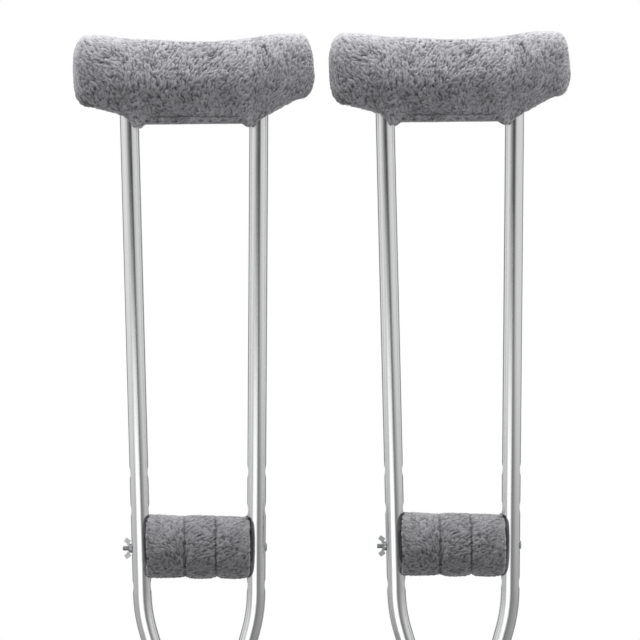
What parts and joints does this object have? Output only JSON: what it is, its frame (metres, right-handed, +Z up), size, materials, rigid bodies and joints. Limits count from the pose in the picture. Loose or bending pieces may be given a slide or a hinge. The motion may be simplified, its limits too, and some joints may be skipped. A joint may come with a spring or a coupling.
{
  "type": "underarm crutches",
  "caption": "Pair of aluminium underarm crutches with plush saddle pads, bolted plush-wrapped handgrips, push-button telescopic legs and rubber tips.",
  "frame": {"origin": "on the floor, midway between the two tips", "axes": "+Z up along the crutches, X across the pair with the left crutch and both wing nuts at -X, -Y to the front, where the snap buttons are"},
  "size_m": [0.498, 0.068, 1.3087],
  "materials": {
    "tube_aluminium": "satin",
    "leg_aluminium": "satin",
    "rivet_aluminium": "satin",
    "pad_plush": "matte",
    "grip_plush": "matte",
    "hook_tape": "matte",
    "foam": "matte",
    "grey_plastic": "matte",
    "black_plastic": "satin",
    "zinc_steel": "satin",
    "nut_steel": "satin",
    "spring_steel": "satin",
    "button_chrome": "polished",
    "grey_rubber": "matte"
  },
  "bodies": {
    "left_frame": {"left_nut_side_upright": "tube_aluminium", "left_head_side_upright": "tube_aluminium", "left_saddle_core": "grey_plastic", "left_saddle_rivets": "rivet_aluminium", "left_underarm_cushion": "foam", "left_underarm_cover": "pad_plush", "left_underarm_cover_closure": "hook_tape", "left_grip_liner": "grey_plastic", "left_grip_foam": "foam", "left_grip_cover": "grip_plush", "left_grip_cover_closure": "hook_tape", "left_grip_bolt": "zinc_steel", "left_head_washer": "zinc_steel", "left_leg_sleeve": "tube_aluminium", "left_rivet_spacers": "black_plastic", "left_sleeve_rivets": "rivet_aluminium", "left_sleeve_top_cap": "black_plastic", "left_upright_end_plugs": "black_plastic", "left_sleeve_collar": "black_plastic"},
    "left_leg": {"left_leg_tube": "leg_aluminium", "left_leg_bush": "grey_plastic", "left_snap_spring": "spring_steel", "left_rubber_tip": "grey_rubber", "left_tip_washer": "zinc_steel"},
    "left_button": {"left_snap_button": "button_chrome"},
    "left_washer": {"left_nut_washer": "zinc_steel"},
    "left_nut": {"left_wing_nut": "nut_steel"},
    "right_frame": {"right_nut_side_upright": "tube_aluminium", "right_head_side_upright": "tube_aluminium", "right_saddle_core": "grey_plastic", "right_saddle_rivets": "rivet_aluminium", "right_underarm_cushion": "foam", "right_underarm_cover": "pad_plush", "right_underarm_cover_closure": "hook_tape", "right_grip_liner": "grey_plastic", "right_grip_foam": "foam", "right_grip_cover": "grip_plush", "right_grip_cover_closure": "hook_tape", "right_grip_bolt": "zinc_steel", "right_head_washer": "zinc_steel", "right_leg_sleeve": "tube_aluminium", "right_rivet_spacers": "black_plastic", "right_sleeve_rivets": "rivet_aluminium", "right_sleeve_top_cap": "black_plastic", "right_upright_end_plugs": "black_plastic", "right_sleeve_collar": "black_plastic"},
    "right_leg": {"right_leg_tube": "leg_aluminium", "right_leg_bush": "grey_plastic", "right_snap_spring": "spring_steel", "right_rubber_tip": "grey_rubber", "right_tip_washer": "zinc_steel"},
    "right_button": {"right_snap_button": "button_chrome"},
    "right_washer": {"right_nut_washer": "zinc_steel"},
    "right_nut": {"right_wing_nut": "nut_steel"}
  },
  "joints": [
    {"name": "left_leg_slide", "type": "slide", "parent": "left_frame", "child": "left_leg", "axis": [0, 0, -1], "range_m": [-0.1016, 0.0508]},
    {"name": "left_button_press", "type": "slide", "parent": "left_leg", "child": "left_button", "axis": [0, 1, 0], "range_m": [0, 0.0048], "stiffness_N_per_m": 600, "springref_m": -0.002, "deforming": ["left_snap_spring"]},
    {"name": "left_washer_slide", "type": "slide", "parent": "left_frame", "child": "left_washer", "axis": [-1, 0, 0], "range_m": [0, 0.0088]},
    {"name": "left_wing_nut_turn", "type": "hinge", "parent": "left_washer", "child": "left_nut", "pos_m": [-0.19412, 0, 0.796], "axis": [-1, 0, 0], "range_deg": [0, 3960]},
    {"name": "right_leg_slide", "type": "slide", "parent": "right_frame", "child": "right_leg", "axis": [0, 0, -1], "range_m": [-0.1016, 0.0508]},
    {"name": "right_button_press", "type": "slide", "parent": "right_leg", "child": "right_button", "axis": [0, 1, 0], "range_m": [0, 0.0048], "stiffness_N_per_m": 600, "springref_m": -0.002, "deforming": ["right_snap_spring"]},
    {"name": "right_washer_slide", "type": "slide", "parent": "right_frame", "child": "right_washer", "axis": [-1, 0, 0], "range_m": [0, 0.0088]},
    {"name": "right_wing_nut_turn", "type": "hinge", "parent": "right_washer", "child": "right_nut", "pos_m": [0.06087, 0, 0.796], "axis": [-1, 0, 0], "range_deg": [0, 3960]},
    {"name": "pair_spread", "type": "slide", "parent": "left_frame", "child": "right_frame", "axis": [1, 0, 0], "range_m": [0, 0.25]}
  ],
  "couplings": [
    {"joint": "left_washer_slide", "follows": "left_wing_nut_turn", "m_per_rad": 0.00012732},
    {"joint": "right_washer_slide", "follows": "right_wing_nut_turn", "m_per_rad": 0.00012732}
  ]
}
